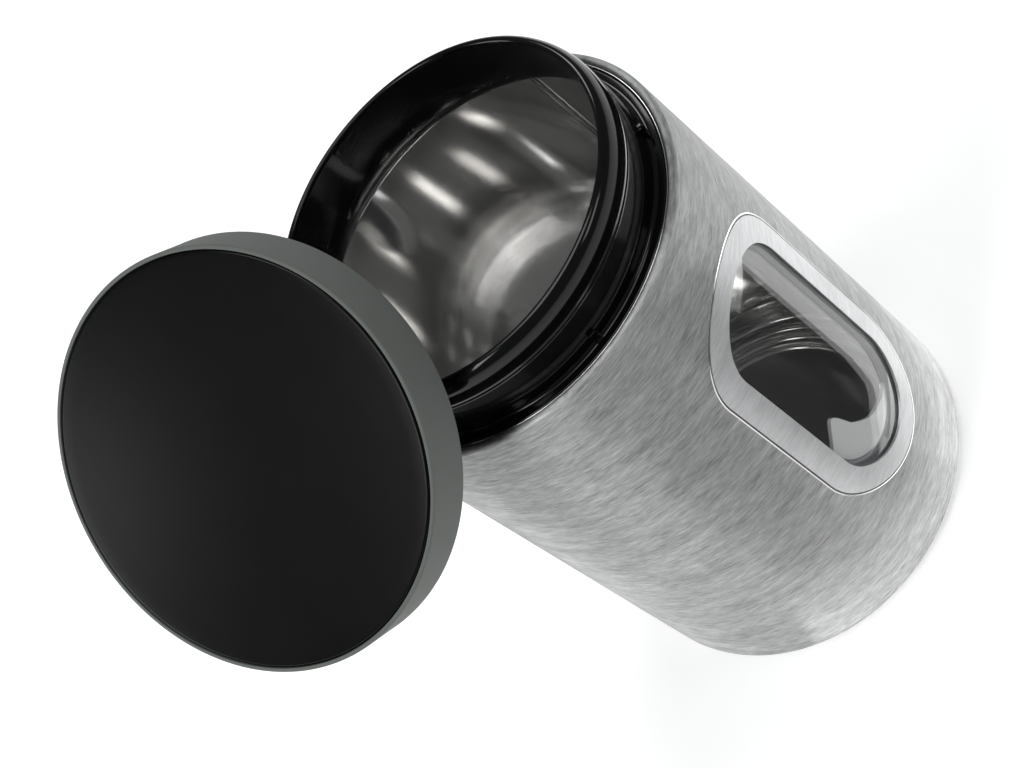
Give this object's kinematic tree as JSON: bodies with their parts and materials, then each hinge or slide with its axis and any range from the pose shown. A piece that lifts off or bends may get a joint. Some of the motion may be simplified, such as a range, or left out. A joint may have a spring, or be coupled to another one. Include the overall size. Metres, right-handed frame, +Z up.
{
  "type": "vacuum seal canister",
  "caption": "Tall brushed steel kitchen canister with a long round-ended window, a polished liner, a black neck and a twist-to-pump vacuum lid taken off and held beside the neck.",
  "frame": {"origin": "centre of the flat underside of the base pad", "axes": "+Z runs up the canister's axis, the window faces -Y, the taken-off lid is on the -X side"},
  "size_m": [0.1791, 0.1457, 0.239],
  "materials": {
    "shell_steel": "brushed round the shell",
    "bezel_steel": "brushed across",
    "liner_steel": "polished",
    "bright_steel": "polished",
    "clear_pane": "clear, smooth",
    "collar_plastic": "glossy black",
    "cover_plastic": "satin black",
    "ring_plastic": "satin dark grey-green",
    "base_plastic": "fine matt",
    "grey_plastic": "moulded",
    "slide_plastic": "smooth, unfilled",
    "silicone": "soft, translucent grey",
    "seal_rubber": "matt",
    "pad_rubber": "fine matt"
  },
  "bodies": {
    "canister": {"outer_shell": "shell_steel", "window_bezel": "bezel_steel", "window_pane": "clear_pane", "window_carrier": "grey_plastic", "window_gasket": "seal_rubber", "liner": "liner_steel", "liner_cushion": "seal_rubber", "base_plate": "base_plastic", "base_pad": "pad_rubber", "neck_collar": "collar_plastic", "collar_gasket": "seal_rubber", "trim_ring": "bright_steel"},
    "lid": {"lid_base": "base_plastic", "mouth_gasket": "silicone", "slip_ring": "slide_plastic", "release_spring": "bright_steel"},
    "cap": {"lid_cover": "cover_plastic", "lid_ring": "ring_plastic", "cam_drum": "slide_plastic"},
    "piston": {"pump_piston": "grey_plastic", "piston_seal": "seal_rubber", "drive_pins": "bright_steel"},
    "intake_disc": {"intake_valve": "silicone"},
    "exhaust_disc": {"exhaust_valve": "silicone"},
    "release_poppet": {"release_valve": "grey_plastic", "release_seal": "seal_rubber"}
  },
  "joints": [
    {"name": "lid_lift", "type": "slide", "parent": "canister", "child": "lid", "axis": [0, 0, 1], "range_m": [0, 0.08]},
    {"name": "cap_turn", "type": "hinge", "parent": "lid", "child": "cap", "pos_m": [-0.07303, 0.02888, 0.19871], "axis": [-0.6347, -0.1712, 0.7536], "range_deg": [0, 90]},
    {"name": "pump_stroke", "type": "slide", "parent": "lid", "child": "piston", "axis": [-0.6347, -0.1712, 0.7536], "range_m": [0, 0.006]},
    {"name": "intake_lift", "type": "slide", "parent": "lid", "child": "intake_disc", "axis": [-0.6347, -0.1712, 0.7536], "range_m": [0, 0.0008]},
    {"name": "exhaust_lift", "type": "slide", "parent": "piston", "child": "exhaust_disc", "axis": [-0.6347, -0.1712, 0.7536], "range_m": [0, 0.0006]},
    {"name": "release_press", "type": "slide", "parent": "lid", "child": "release_poppet", "axis": [0.6347, 0.1712, -0.7536], "range_m": [0, 0.0015], "stiffness_N_per_m": 200, "springref_m": -0.0015, "deforming": ["release_spring"]}
  ],
  "couplings": [
    {"joint": "pump_stroke", "follows": "cap_turn", "m_per_rad": 0.0038197}
  ]
}
